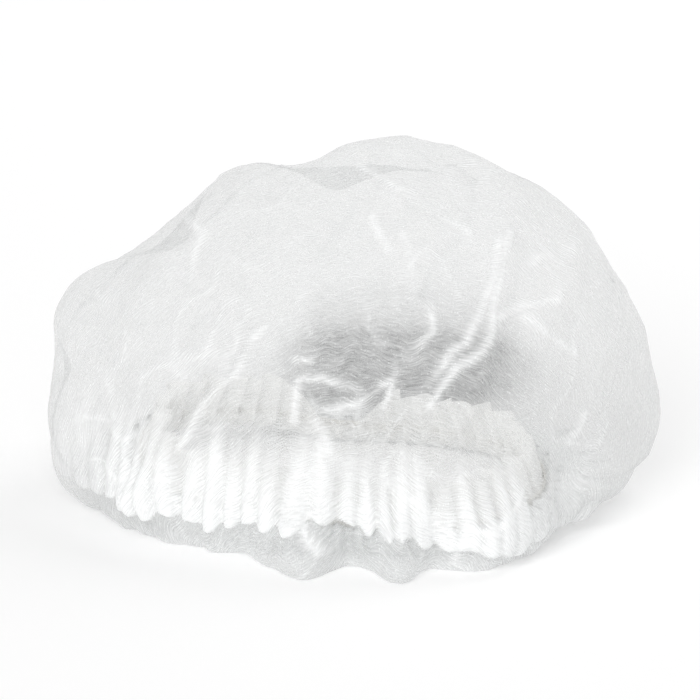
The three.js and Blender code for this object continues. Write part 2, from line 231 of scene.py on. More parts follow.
class CoverShape(bpy.types.PropertyGroup):
    """Sizes of the cover."""

    cap_width: FloatProperty(
        name="Cap width", description="Reach of the puffed crown, left to right",
        default=0.277, min=0.1, unit="LENGTH", subtype="DISTANCE")
    cap_depth: FloatProperty(
        name="Cap depth", description="Reach of the puffed crown, front to back",
        default=0.244, min=0.1, unit="LENGTH", subtype="DISTANCE")
    cap_height: FloatProperty(
        name="Cap height", description="Top of the puffed crown above the floor",
        default=0.169, min=0.05, unit="LENGTH", subtype="DISTANCE")
    rim_width: FloatProperty(
        name="Rim width", description="Loop that the head goes through, left to right",
        default=0.186, min=0.05, unit="LENGTH", subtype="DISTANCE")
    rim_depth: FloatProperty(
        name="Rim depth", description="Loop that the head goes through, front to back",
        default=0.15, min=0.05, unit="LENGTH", subtype="DISTANCE")
    pleats: IntProperty(name="Pleats", description="Gathers round the rim", default=52, min=8)
    pleat_depth: FloatProperty(
        name="Pleat depth", description="Crest to trough of a gather, across the rim",
        default=0.0065, min=0.001, unit="LENGTH", subtype="DISTANCE")
    gather_reach: FloatProperty(
        name="Gather reach", description="How far up the cloth the gathers fade out",
        default=0.06, min=0.02, unit="LENGTH", subtype="DISTANCE")
    hem_height: FloatProperty(
        name="Hem height", description="Free edge of the turned-up hem above the floor",
        default=0.029, min=0.014, unit="LENGTH", subtype="DISTANCE")
    hem_ruffle: FloatProperty(
        name="Hem ruffle", description="Crest to trough of the hem's free edge",
        default=0.009, min=0.001, unit="LENGTH", subtype="DISTANCE")
    hem_lean: FloatProperty(
        name="Hem lean", description="How far in the hem's free edge stands from its foot",
        default=0.005, unit="LENGTH", subtype="DISTANCE")
    ruffle_pleats: IntProperty(
        name="Ruffle pleats", description="Pleats of the front ruffle, were it to run all round",
        default=76, min=8)
    crumple: FloatProperty(
        name="Crumple", description="Height of the small creases left by the packet",
        default=0.0022, min=0, unit="LENGTH", subtype="DISTANCE")
    stitch_radius: FloatProperty(
        name="Thread radius", description="Half the thickness of the sewing thread",
        default=0.00022, min=0.00005, unit="LENGTH", subtype="DISTANCE")


class CoverLook(bpy.types.PropertyGroup):
    """Colours and cloth texture of the cover."""

    cloth: FloatVectorProperty(
        name="Cloth", description="Colour of the bleached polypropylene fibres",
        default=linear("#fafbfb"), min=0, max=1, subtype="COLOR")
    hem: FloatVectorProperty(
        name="Hem", description="Colour of the turned-up cloth, a little warmer",
        default=linear("#fcfcfb"), min=0, max=1, subtype="COLOR")
    elastic: FloatVectorProperty(
        name="Elastic", description="Colour of the elastic's covering yarn",
        default=linear("#dedcd6"), min=0, max=1, subtype="COLOR")
    thread: FloatVectorProperty(
        name="Thread", description="Colour of the sewing thread",
        default=linear("#c9c8c4"), min=0, max=1, subtype="COLOR")
    cover: FloatProperty(
        name="Cover", description="Share of the cloth that its fibres fill",
        default=0.32, min=0, max=1, subtype="FACTOR")
    fibre_pitch: FloatProperty(
        name="Fibre pitch", description="Spacing of the drawn bundles of fibres",
        default=0.0007, min=0.0001, unit="LENGTH", subtype="DISTANCE")
    bond_pitch: FloatProperty(
        name="Bond pitch", description="Spacing of the points where the fibres are welded",
        default=0.0017, min=0.0005, unit="LENGTH", subtype="DISTANCE")


class StageLook(bpy.types.PropertyGroup):
    """Floor and light."""

    floor: FloatVectorProperty(
        name="Floor", description="Colour of the paper floor",
        default=linear("#fdfdfd"), min=0, max=1, subtype="COLOR")
    key: FloatProperty(
        name="Key", description="Strength of the wide soft light over the front left",
        default=1.45, min=0)
    fill_power: FloatProperty(
        name="Fill power", description="Large soft light over the back right",
        default=14.0, min=0, unit="POWER")
    low_power: FloatProperty(
        name="Low power", description="Soft light from low in front, on the flaps and pleats",
        default=13.0, min=0, unit="POWER")
    sky: FloatProperty(
        name="Sky", description="Even light from all round", default=0.58, min=0)


# Cloth


def around(column, angle, table=DIRECTIONS):
    """Smooth closed curve through one column of a table of directions, at angles in radians."""
    at = np.concatenate([[row["at"] + turn for row in table] for turn in (-360, 0, 360)])
    value = np.tile([row[column] for row in table], 3)
    degrees = np.degrees(angle) % 360
    i = np.searchsorted(at, degrees, side="right") - 1
    span = at[i + 1] - at[i]
    t = (degrees - at[i]) / span
    slope_from = (value[i + 1] - value[i - 1]) / (at[i + 1] - at[i - 1]) * span
    slope_to = (value[i + 2] - value[i]) / (at[i + 2] - at[i]) * span
    return (
        (2 * t**3 - 3 * t**2 + 1) * value[i] + (t**3 - 2 * t**2 + t) * slope_from
        + (3 * t**2 - 2 * t**3) * value[i + 1] + (t**3 - t**2) * slope_to
    )


def smoothstep(x, low, high):
    t = np.clip((x - low) / (high - low), 0, 1)
    return t * t * (3 - 2 * t)


def angle_at(station):
    """Direction of a station, which runs from 0 to 1 once round the rim."""
    return 2 * np.pi * station + PLEAT_DRIFT * (
        np.sin(6 * np.pi * station) + 0.6 * np.sin(14 * np.pi * station)
    )


def wave(shape, station):
    """Pleats as rounded lobes with narrow valleys, from -1 in a valley to 1 on a crest."""
    return 1 - 2 * np.sin(np.pi * shape.pleats * station) ** 4


def uneven(station):
    return 0.9 + 0.1 * np.sin(2 * np.pi * 17 * station + 1) + 0.06 * np.sin(2 * np.pi * 29 * station)


def fold_height(shape, station):
    return SCALLOP * (1 - wave(shape, station)) / 2


def outward(angle):
    return np.stack([np.cos(angle), np.sin(angle), np.zeros_like(angle)], axis=-1)


def ellipse_reach(angle, width, depth):
    return 1 / np.hypot(2 * np.cos(angle) / width, 2 * np.sin(angle) / depth)


def rim_point(shape, station, offset, height):
    """Places over the rim loop: an offset outwards from the elastic's middle, and a height."""
    angle = angle_at(station)
    reach = around("rim", angle) * ellipse_reach(angle, shape.rim_width, shape.rim_depth) + offset
    point = outward(angle) * reach[:, None]
    point[:, :2] += RIM_MIDDLE
    point[:, 2] = np.maximum(around("lift", angle), 0) * shape.cap_height + height
    return point


def bezier(a, b, c, d, steps=48):
    t = np.linspace(0, 1, steps)[None, :, None]
    a, b, c, d = (x[:, None, :] for x in (a, b, c, d))
    return a * (1 - t) ** 3 + 3 * b * t * (1 - t) ** 2 + 3 * c * t**2 * (1 - t) + d * t**3


def cloth_lines(shape, station):
    """Lines of cloth from the fold, over the elastic, out to the belly and up to the top."""
    angle = angle_at(station)
    out = outward(angle)
    up = np.array([0, 0, 1.0])
    offset = ELASTIC_SIDE + CLEARANCE + shape.pleat_depth / 2
    fold = rim_point(shape, station, 0, fold_height(shape, station))
    waist = rim_point(shape, station, offset, CHANNEL_FOOT)
    rise = rim_point(shape, station, offset, CHANNEL_TOP)
    reach = around("belly", angle) * ellipse_reach(angle, shape.cap_width, shape.cap_depth)
    belly = out * reach[:, None] + up * (around("up", angle) * shape.cap_height)[:, None]
    top = np.tile([*TOP, shape.cap_height], (len(station), 1))
    leaves = np.radians(around("leaves", angle))
    arm = around("hang", angle) * np.linalg.norm(rise - belly, axis=1)
    full = around("shoulder", angle)
    lower = bezier(
        rise,
        rise + out * (arm * np.cos(leaves))[:, None] + up * (arm * np.sin(leaves))[:, None],
        belly - up * arm[:, None],
        belly,
    )
    upper = bezier(
        belly,
        belly + up * (full * (top[:, 2] - belly[:, 2]))[:, None],
        top + out * (full * reach)[:, None],
        top,
    )
    points = np.concatenate([fold[:, None], waist[:, None], lower, upper[:, 1:]], axis=1)
    steps = np.linalg.norm(np.diff(points, axis=1), axis=2)
    lengths = np.concatenate([np.zeros((len(station), 1)), np.cumsum(steps, axis=1)], axis=1)
    return points, lengths


def walk(lines, wanted):
    """Points at the wanted lengths up each line."""
    points, lengths = lines
    return np.stack(
        [
            np.stack([np.interp(w, l, p[:, axis]) for axis in range(3)], axis=-1)
            for p, l, w in zip(points, lengths, wanted)
        ]
    )


def place_on(shape, degrees, share):
    """Places on the unwrinkled cloth, by direction and share of the way from fold to top."""
    lines = cloth_lines(shape, np.asarray(degrees) / 360)
    return walk(lines, (np.asarray(share) * lines[1][:, -1])[:, None])[:, 0]


def distance_to_path(points, path):
    """Shortest distance from each point to a path of straight steps."""
    best = np.full(len(points), np.inf)
    for a, b in zip(path[:-1], path[1:]):
        t = np.clip((points - a) @ (b - a) / ((b - a) @ (b - a)), 0, 1)
        best = np.minimum(best, np.linalg.norm(points - a - t[:, None] * (b - a), axis=1))
    return best


def fold_path(shape, fold):
    t = np.linspace(0, 1, 9)
    return place_on(
        shape, fold["at"] + (fold["to"] - fold["at"]) * t, fold["up"] + (fold["to_up"] - fold["up"]) * t
    )


def wrinkle(shape, points):
    """How far the dents and folds push the smooth cloth out."""
    push = np.zeros(len(points))
    for dent in DENTS:
        centre = place_on(shape, [dent["at"]], [dent["up"]])[0]
        far = np.linalg.norm(points - centre, axis=1) / (dent["size"] * shape.cap_width)
        push -= dent["depth"] * shape.cap_height * np.exp(-0.5 * far**2)
    for fold in FOLDS:
        far = distance_to_path(points, fold_path(shape, fold)) / (fold["width"] * shape.cap_width)
        push += fold["height"] * shape.cap_height * np.exp(-0.5 * far**2)
    return push


def bent(points):
    """The same points, strayed a little, so that what is drawn through them wanders."""
    # Without a seed, noise vectors change from run to run
    noise.seed_set(NOISE_SEED)
    return np.array([p + STRAY * noise.noise_vector(p / STRAY_LENGTH) for p in map(Vector, points)])


def creases(shape, points):
    """How far the sharp creases push the cloth out, and how close each point is to one."""
    push, near = np.zeros(len(points)), np.zeros(len(points))
    for crease in CREASES:
        corners = np.array(crease["path"], float)
        t = np.linspace(0, len(corners) - 1, 5 * len(corners))
        at, up = (np.interp(t, np.arange(len(corners)), corners[:, i]) for i in (0, 1))
        half = crease["width"] * shape.cap_width
        far = distance_to_path(points, place_on(shape, at, up)) / half
        push += crease["height"] * shape.cap_height * np.exp(-far)
        near = np.maximum(near, np.exp(-0.5 * (far * half / CREASE_LINE) ** 2))
    return push, near


def crumple(shape, points):
    """Small ridges and flats that thin cloth keeps from its packet, and the threads of
    light where it is sharply bent."""
    starts = (Vector(), Vector((7, 3, 1)), Vector())
    broad, fine, some = (
        np.array([noise.noise(p / length + start) for p in map(Vector, points)])
        for length, start in zip(CRUMPLE_LENGTHS, starts)
    )
    push = 0.3 - np.abs(broad) + 0.35 * (0.3 - np.abs(fine))
    lines = np.exp(-((broad / 0.05) ** 2)) * smoothstep(some, -0.1, 0.3)
    return shape.crumple * push, lines


def gathers(shape, station, beyond):
    """Push of the pleats, which run into fewer and softer folds up the cloth."""
    s = station[:, None]
    reach = shape.gather_reach * (
        0.85 + 0.25 * np.sin(2 * np.pi * 19 * s) + 0.15 * np.sin(2 * np.pi * 7 * s)
    )
    near = 1 - smoothstep(beyond, 0, reach - CHANNEL_TOP)
    push = shape.pleat_depth / 2 * uneven(s) * wave(shape, s) * near
    middling = smoothstep(beyond, 0.004, 0.02) * (1 - smoothstep(beyond, 0.03, 0.085))
    push += SOFT_FOLDS[0] * np.cos(2 * np.pi * 23 * s + 1.3 * np.sin(6 * np.pi * s)) * middling
    broad = smoothstep(beyond, 0.015, 0.05) * (1 - smoothstep(beyond, 0.06, 0.13))
    push += SOFT_FOLDS[1] * np.cos(2 * np.pi * 11 * s + 2 * np.sin(4 * np.pi * s)) * broad
    return push


def ruffle(shape, station, share):
    """Push of the ruffle over the front of the rim, and how close its cloth lies there."""
    angle = angle_at(station)[:, None]
    foot, head, full, pleats = (around(name, angle, RUFFLE) for name in ("foot", "head", "full", "pleats"))
    full = np.clip(full, 0, 1)
    s = station[:, None]
    drift = 0.7 * np.sin(2 * np.pi * 5 * s) + 0.6 * np.sin(2 * np.pi * 13 * s + 1)
    lobes = 1 - 2 * np.sin(np.pi * shape.ruffle_pleats * s + drift) ** 4
    foot = foot + 0.004 * pleats * (1 - lobes) + 0.005 * np.sin(2 * np.pi * 21 * s)
    head = head + 0.016 * lobes + 0.02 * np.sin(2 * np.pi * 31 * s) + 0.016 * np.sin(2 * np.pi * 17 * s)
    stand = smoothstep(share, foot - 0.003, foot + 0.004) * (1 - smoothstep(share, foot + 0.02, head))
    close = smoothstep(share, foot - 0.002, foot + 0.003) * (1 - smoothstep(share, head - 0.09, head + 0.03))
    push = full * stand * (RUFFLE_STAND + RUFFLE_PLEAT * pleats * lobes * uneven(s))
    return push, full * close * (0.88 + 0.1 * lobes)


def in_frame(shape, points):
    """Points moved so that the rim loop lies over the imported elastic."""
    station = np.arange(2 * shape.pleats) / (2 * shape.pleats)
    loop = rim_point(shape, station, ELASTIC_THICKNESS / 2, 0)
    middle = (loop.min(0) + loop.max(0)) / 2
    packed = (np.array(ELASTIC_BOX[0]) + np.array(ELASTIC_BOX[1])) / 2
    shift = np.array([packed[0] - middle[0], packed[1] - middle[1], 0])
    return points + shift


def stations(shape):
    """Even steps round the rim, PLEAT_STATIONS to a pleat."""
    count = PLEAT_STATIONS * shape.pleats
    return np.arange(count) / count


def crown_points(shape, station):
    """Rows of the crown's cloth, how far up the cloth each lies as a share, how many
    fibres lie over each other there, from 0, single cloth, to 1, packed gathers, raised
    along creases and crumples for a partly painted highlight, and how much painted shade
    is laid on the cloth that faces down."""
    lines = cloth_lines(shape, station)
    hem, total = lines[1][:, 2:3], lines[1][:, -1:]
    wanted = [hem * np.linspace(0, 1, CHANNEL_ROWS)]
    for band in ROWS:
        start = wanted[-1][:, -1:]
        wanted.append(start + (band["to"] - start) * np.linspace(0, 1, band["rows"] + 1)[1:])
    start = wanted[-1][:, -1:]
    wanted.append(start + (total - start) * np.linspace(0, 1, DOME_ROWS + 1)[1:])
    wanted = np.concatenate(wanted, axis=1)
    smooth = walk(lines, wanted)
    along = walk(lines, np.minimum(wanted + MM, total)) - walk(lines, np.maximum(wanted - MM, 0))
    angle = angle_at(station)
    sideways = np.stack([-np.sin(angle), np.cos(angle), np.zeros_like(angle)], axis=-1)
    facing = np.cross(sideways[:, None, :], along)
    facing /= np.linalg.norm(facing, axis=2, keepdims=True)
    beyond = np.maximum(wanted - hem, 0)
    turn = smoothstep(beyond, 0, 3 * MM)[:, :, None]
    lift = outward(angle)[:, None, :] * (1 - turn) + facing * turn
    free = smoothstep(beyond, 0, shape.gather_reach / 2)
    flat = smooth.reshape(-1, 3)
    away = smooth - np.array([0, 0, 0.3 * shape.cap_height])
    away /= np.linalg.norm(away, axis=2, keepdims=True)
    strayed = bent(flat)
    sharp, near = (x.reshape(free.shape) for x in creases(shape, strayed))
    small, bright = (x.reshape(free.shape) for x in crumple(shape, strayed))
    push = wrinkle(shape, flat).reshape(free.shape) + small + sharp
    pleats, full = ruffle(shape, station, wanted / total)
    points = smooth + lift * (gathers(shape, station, beyond) + pleats)[:, :, None]
    points += away * (push * free)[:, :, None]
    points[:, :, 2] = np.maximum(points[:, :, 2] - SETTLE * free, 0.2 * MM)
    gathered = 1 - smoothstep(wanted, 0.012, 0.04)
    # At the front, the flaps below the ruffle are gathered cloth too
    front = smoothstep(-np.sin(angle), 0.2, 0.7)[:, None]
    flaps = 0.75 * front * (1 - smoothstep(wanted, 0.02, 0.06))
    dense = np.maximum(np.maximum(full, gathered), flaps)
    # Along creases the cloth is drawn denser and whiter for doubled fibres and partly as a painted highlight; along
    # crumple ridges, as a painted highlight
    dense = np.clip(dense + (0.78 * near + 0.4 * bright) * free, 0, 1)
    # Painted shade: cloth facing downwards is drawn darker, fully at the back right, which hangs
    # low over its rim, and there also cloth facing a little upwards; faintly elsewhere, and not
    # at the front, in the ruffle or in the gathers
    back = smoothstep(np.sin(angle + math.radians(13)), 0.8, 0.97)[:, None]
    under = smoothstep(-facing[:, :, 2], 0.05 - 0.35 * back, 0.6 - 0.35 * back)
    under = under * (1 - full) * (1 - gathered)
    under *= np.maximum(back, 0.06 * (1 - front))
    return points, wanted / total, dense, under


def hem_points(shape, station):
    """Rows of the turned-up hem, from the fold to its free edge."""
    pleat = shape.pleat_depth / 2 * uneven(station)
    lobes = wave(shape, station)
    ruffle = shape.hem_ruffle / 2 * uneven(station)
    lean = shape.hem_lean * (1 + 0.3 * np.sin(2 * np.pi * 9 * station))
    edge_height = shape.hem_height * (0.95 + 0.05 * np.sin(2 * np.pi * 31 * station + 2))
    aside = (np.degrees(angle_at(station)) % 360 - DROOP["at"]) / DROOP["half"]
    edge_height *= 1 - DROOP["drop"] * np.exp(-(aside**4))
    marks = [
        (pleat * lobes - CLEARANCE, fold_height(shape, station) + 0.1 * MM),
        (pleat * (lobes - 1) - ELASTIC_SIDE, np.full_like(station, CHANNEL_FOOT)),
        (pleat * (lobes - 1) - ELASTIC_SIDE, np.full_like(station, CHANNEL_TOP)),
        (ruffle * (lobes - 1) - ELASTIC_SIDE - lean, edge_height),
    ]
    rows = []
    for (offset, height), (to_offset, to_height), count in zip(marks, marks[1:], (3, 3, 12)):
        for t in np.arange(count) / count:
            there = offset + (to_offset - offset) * t
            rows.append(rim_point(shape, station, there, height + (to_height - height) * t))
    rows.append(rim_point(shape, station, *marks[-1]))
    return np.stack(rows, axis=1)


# Meshes and materials


def new_mesh(name, points, faces, material, cut=None, **measures):
    """A smooth mesh object, with its flat cut as a UV map in metres, and with measures of
    the cloth at each point that its material reads."""
    mesh = bpy.data.meshes.new(name)
    mesh.from_pydata([tuple(p) for p in points], [], faces)
    mesh.materials.append(material)
    mesh.shade_smooth()
    if cut is not None:
        layer = mesh.uv_layers.new(name="cut")
        corners = np.empty(len(mesh.loops), int)
        mesh.loops.foreach_get("vertex_index", corners)
        layer.data.foreach_set("uv", cut[corners].astype(np.float32).ravel())
    for measure, values in measures.items():
        layer = mesh.attributes.new(measure, "FLOAT", "POINT")
        layer.data.foreach_set("value", values.astype(np.float32))
    mesh.validate()
    made = bpy.data.objects.new(name, mesh)
    bpy.context.scene.collection.objects.link(made)
    return made


def grid_faces(count, rows):
    """Quads between rows of a closed ring of stations, whose points run up each station."""
    return [
        (k * rows + r, (k + 1) % count * rows + r, (k + 1) % count * rows + r + 1, k * rows + r + 1)
        for k in range(count)
        for r in range(rows - 1)
    ]


def thinned(count, rows):
    """Stations that each row of the crown keeps below its top: every second on the dome."""
    close = rows - DOME_ROWS
    return [np.arange(0, count, 1 if row < close else 2) for row in range(rows - 1)]


def ring_faces(sizes):
    """Faces up closed rings of points, each as long as the ring below or half as long, and
    from the last ring to one point at the top."""
    starts = np.cumsum([0, *sizes])
    faces = []
    for low, high, a, b in zip(sizes, sizes[1:], starts, starts[1:]):
        step = low // high
        for k in range(high):
            foot = [a + (step * k + i) % low for i in range(step + 1)]
            faces.append((*foot, b + (k + 1) % high, b + k))
    last, count, top = starts[-2], sizes[-1], starts[-1]
    return faces + [(last + k, last + (k + 1) % count, top) for k in range(count)]


def add_node(tree, kind, inputs=None, **settings):
    """Add one node with its settings, and with values or links for its inputs."""
    node = tree.nodes.new(kind)
    for name, value in settings.items():
        setattr(node, name, value)
    for socket, value in (inputs or {}).items():
        if isinstance(value, bpy.types.NodeSocket):
            tree.links.new(value, node.inputs[socket])
        else:
            node.inputs[socket].default_value = value
    return node


def new_material(name):
    material = bpy.data.materials.new(name)
    material.use_nodes = True
    material.node_tree.nodes.clear()
    return material, material.node_tree


def spunbond(name, colour, look):
    """Spunbond polypropylene: endless fibres of about 20 micrometres, laid in wavy bundles
    and welded in a grid of points. Light comes through between the bundles, so the cloth
    is cloudy and brightest where it lies double, and the weld points shine a little."""
    material, tree = new_material(name)
    cut = add_node(tree, "ShaderNodeUVMap", uv_map="cut").outputs["UV"]
    # Bundles wander by some millimetres over a few centimetres
    wander = add_node(tree, "ShaderNodeTexNoise", {"Vector": cut, "Scale": 1 / 0.03, "Detail": 1.0})
    shift = add_node(
        tree, "ShaderNodeVectorMath",
        {0: wander.outputs["Color"], 1: (0.5, 0.5, 0.5)}, operation="SUBTRACT")
    drift = add_node(
        tree, "ShaderNodeVectorMath", {0: shift.outputs[0], "Scale": 0.018}, operation="SCALE")
    wavy = add_node(tree, "ShaderNodeVectorMath", {0: cut, 1: drift.outputs[0]}, operation="ADD")
    # Real fibres are far too fine for the render, so bundles of them are drawn
    strands = []
    for turn, stretch in ((0.5, 14), (-0.9, 10)):
        laid = add_node(
            tree, "ShaderNodeMapping",
            {"Vector": wavy.outputs[0], "Rotation": (0, 0, turn),
             "Scale": (1 / (look.fibre_pitch * stretch), 1 / look.fibre_pitch, 1)})
        strands.append(add_node(
            tree, "ShaderNodeTexNoise", {"Vector": laid.outputs[0], "Scale": 1.0, "Detail": 2.0}))
    fibres = add_node(
        tree, "ShaderNodeMath", {0: strands[0].outputs["Fac"], 1: strands[1].outputs["Fac"]},
        operation="MAXIMUM")
    lines = add_node(
        tree, "ShaderNodeMapRange",
        {"Value": fibres.outputs[0], "From Min": 0.42, "From Max": 0.72})
    cloud = add_node(tree, "ShaderNodeTexNoise", {"Vector": cut, "Scale": 1 / 0.014, "Detail": 3.0})
    cloudy = add_node(
        tree, "ShaderNodeMapRange", {"Value": cloud.outputs["Fac"], "From Min": 0.3, "From Max": 0.7})
    bond = add_node(
        tree, "ShaderNodeTexVoronoi", {"Vector": cut, "Scale": 1 / look.bond_pitch, "Randomness": 0.55})
    weld = add_node(
        tree, "ShaderNodeMapRange",
        {"Value": bond.outputs["Distance"], "From Min": 0.3, "From Max": 0.16})
    # Cloth lies over itself in the gathers, and along creases it is drawn denser, partly as a
    # painted highlight; where shade is painted, the cover is raised too, so the painted shade
    # is not seen through
    dense = add_node(tree, "ShaderNodeAttribute", attribute_name="dense").outputs["Fac"]
    under = add_node(tree, "ShaderNodeAttribute", attribute_name="under").outputs["Fac"]
    close = add_node(
        tree, "ShaderNodeMath", {0: under, 1: 0.4, 2: look.cover - 0.2}, operation="MULTIPLY_ADD")
    packed = add_node(
        tree, "ShaderNodeMath", {0: dense, 1: 0.62, 2: close.outputs[0]}, operation="MULTIPLY_ADD")
    streaked = add_node(
        tree, "ShaderNodeMath", {0: lines.outputs[0], 1: 0.35, 2: packed.outputs[0]},
        operation="MULTIPLY_ADD")
    denser = add_node(
        tree, "ShaderNodeMath", {0: cloudy.outputs[0], 1: 0.12, 2: streaked.outputs[0]},
        operation="MULTIPLY_ADD")
    cover = add_node(
        tree, "ShaderNodeMath", {0: weld.outputs[0], 1: 0.2, 2: denser.outputs[0]},
        operation="MULTIPLY_ADD", use_clamp=True)
    white = add_node(
        tree, "ShaderNodeMath", {0: lines.outputs[0], 1: 0.4, 2: dense}, operation="MULTIPLY_ADD",
        use_clamp=True)
    tint = add_node(
        tree, "ShaderNodeMix",
        {"Factor": white.outputs[0], "A": (*(0.82 * c for c in colour), 1), "B": (*colour, 1)},
        data_type="RGBA")
    # Painted shade: cloth facing downwards is drawn darker in colour, standing for the cover's own shade
    shaded = add_node(
        tree, "ShaderNodeMix",
        {"Factor": under, "A": tint.outputs["Result"], "B": (*(0.24 * c for c in colour), 1)},
        data_type="RGBA")
    relief = add_node(
        tree, "ShaderNodeBump", {"Height": weld.outputs[0], "Strength": 0.3, "Distance": 0.0003})
    rough = add_node(
        tree, "ShaderNodeMapRange",
        {"Value": weld.outputs[0], "To Min": 0.68, "To Max": 0.5})
    cloth = add_node(
        tree, "ShaderNodeBsdfPrincipled",
        {"Base Color": shaded.outputs["Result"], "Roughness": rough.outputs[0], "IOR": 1.49,
         "Specular IOR Level": 0.35, "Sheen Weight": 0.12, "Normal": relief.outputs[0]})
    glow = add_node(tree, "ShaderNodeBsdfTranslucent", {"Color": shaded.outputs["Result"]})
    body = add_node(tree, "ShaderNodeMixShader", {"Fac": 0.42, 1: cloth.outputs[0], 2: glow.outputs[0]})
    # Fibres that stand up from the cloth take some of the light between the bundles too
    clear = add_node(tree, "ShaderNodeBsdfTransparent", {"Color": (0.97, 0.97, 0.97, 1)})
    seen = add_node(
        tree, "ShaderNodeMixShader",
        {"Fac": cover.outputs[0], 1: clear.outputs[0], 2: body.outputs[0]})
    add_node(tree, "ShaderNodeOutputMaterial", {"Surface": seen.outputs[0]})
    return material


def covered_elastic(look):
    """Rubber core wound with bulked yarn: a matt flat cord with close ribs across it."""
    material, tree = new_material("covered elastic")
    place = add_node(tree, "ShaderNodeTexCoord").outputs["Object"]
    split = add_node(tree, "ShaderNodeSeparateXYZ", {0: place})
    direction = add_node(
        tree, "ShaderNodeMath", {0: split.outputs["Y"], 1: split.outputs["X"]}, operation="ARCTAN2")
    # One rib every 0.9 mm of a loop of about 540 mm
    turns = add_node(tree, "ShaderNodeMath", {0: direction.outputs[0], 1: 600.0}, operation="MULTIPLY")
    rib = add_node(tree, "ShaderNodeMath", {0: turns.outputs[0]}, operation="SINE")
    fluff = add_node(tree, "ShaderNodeTexNoise", {"Vector": place, "Scale": 1 / 0.0008, "Detail": 2.0})
    mixed = add_node(
        tree, "ShaderNodeMath", {0: rib.outputs[0], 1: 0.4, 2: fluff.outputs["Fac"]},
        operation="MULTIPLY_ADD")
    # The hollows between the ribs are drawn darker, a painted shade, with random tone from the fluff
    tint = add_node(
        tree, "ShaderNodeMix",
        {"Factor": mixed.outputs[0], "A": (*(0.82 * c for c in look.elastic), 1), "B": (*look.elastic, 1)},
        data_type="RGBA")
    relief = add_node(
        tree, "ShaderNodeBump", {"Height": mixed.outputs[0], "Strength": 0.5, "Distance": 0.0003})
    yarn = add_node(
        tree, "ShaderNodeBsdfPrincipled",
        {"Base Color": tint.outputs["Result"], "Roughness": 0.85, "IOR": 1.5,
         "Sheen Weight": 0.3, "Normal": relief.outputs[0]})
    add_node(tree, "ShaderNodeOutputMaterial", {"Surface": yarn.outputs[0]})
    return material


def spun_thread(look):
    """Spun polyester thread: two twisted plies, soft and faintly shiny."""
    material, tree = new_material("spun polyester thread")
    place = add_node(tree, "ShaderNodeTexCoord").outputs["Object"]
    # A ply's turn is about 0.5 mm long
    ply = add_node(tree, "ShaderNodeTexNoise", {"Vector": place, "Scale": 1 / 0.0005, "Detail": 1.0})
    # Where the plies dip the thread is drawn darker, a painted shade
    tint = add_node(
        tree, "ShaderNodeMix",
        {"Factor": ply.outputs["Fac"], "A": (*(0.8 * c for c in look.thread), 1), "B": (*look.thread, 1)},
        data_type="RGBA")
    relief = add_node(
        tree, "ShaderNodeBump", {"Height": ply.outputs["Fac"], "Strength": 0.4, "Distance": 0.0001})
    yarn = add_node(
        tree, "ShaderNodeBsdfPrincipled",
        {"Base Color": tint.outputs["Result"], "Roughness": 0.6, "IOR": 1.53, "Sheen Weight": 0.15,
         "Normal": relief.outputs[0]})
    add_node(tree, "ShaderNodeOutputMaterial", {"Surface": yarn.outputs[0]})
    return material


def paper(look):
    """Matt background paper: even, with a faint tooth."""
    material, tree = new_material("matt background paper")
    place = add_node(tree, "ShaderNodeTexCoord").outputs["Object"]
    tooth = add_node(tree, "ShaderNodeTexNoise", {"Vector": place, "Scale": 1 / 0.002})
    relief = add_node(
        tree, "ShaderNodeBump", {"Height": tooth.outputs["Fac"], "Strength": 0.05, "Distance": 0.0002})
    sheet = add_node(
        tree, "ShaderNodeBsdfPrincipled",
        {"Base Color": (*look.floor, 1), "Roughness": 0.95, "Specular IOR Level": 0.1,
         "Normal": relief.outputs[0]})
    add_node(tree, "ShaderNodeOutputMaterial", {"Surface": sheet.outputs[0]})
    return material


# Pieces


class COVER_OT_crown(bpy.types.Operator):
    """Add the puffed round of cloth, from the fold at the rim to the top."""

    bl_idname = "cover.crown"
    bl_label = "Crown"

    def execute(self, context):
        shape, look = context.scene.cover_shape, context.scene.cover_look
        station = stations(shape)
        points, share, dense, under = crown_points(shape, station)
        flat = outward(angle_at(station))[:, None, :2] * CUT_RADIUS * (1 - share[:, :, None])
        kept = thinned(*share.shape)

        def gather(values, top):
            return np.concatenate([values[ring, row] for row, ring in enumerate(kept)] + [[top]])

        crown = new_mesh(
            "crown_cloth",
            in_frame(shape, gather(points, points[0, -1])),
            ring_faces([len(ring) for ring in kept]),
            spunbond("spunbond polypropylene", look.cloth, look),
            gather(flat, [0, 0]),
            dense=gather(dense, 0),
            # The painted shade of the cloth facing down, kept on the mesh for its material
            under=gather(under, 0),
        )
        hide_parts("crown")
        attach(crown, "root")
        return {"FINISHED"}


class COVER_OT_hem(bpy.types.Operator):
    """Add the cloth's edge, turned up inside the rim and pleated."""

    bl_idname = "cover.hem"
    bl_label = "Hem"

    def execute(self, context):
        shape, look = context.scene.cover_shape, context.scene.cover_look
        station = stations(shape)
        points = hem_points(shape, station)
        count, rows = points.shape[:2]
        flat_radius = CUT_RADIUS + HEM_CUT * np.linspace(0, 1, rows)
        flat = outward(angle_at(station))[:, None, :2] * flat_radius[None, :, None]
        hem = new_mesh(
            "hem_cloth",
            in_frame(shape, points.reshape(-1, 3)),
            [face[::-1] for face in grid_faces(count, rows)],
            spunbond("spunbond polypropylene hem", look.hem, look),
            flat.reshape(-1, 2),
            dense=np.ones(count * rows),
            # The hem carries no painted shade
            under=np.zeros(count * rows),
        )
        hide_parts("hem_band")
        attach(hem, "root")
        return {"FINISHED"}


class COVER_OT_elastic(bpy.types.Operator):
    """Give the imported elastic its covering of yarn."""

    bl_idname = "cover.elastic"
    bl_label = "Elastic"

    def execute(self, context):
        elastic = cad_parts["elastic_band"]
        elastic.data.materials.clear()
        elastic.data.materials.append(covered_elastic(context.scene.cover_look))
        return {"FINISHED"}


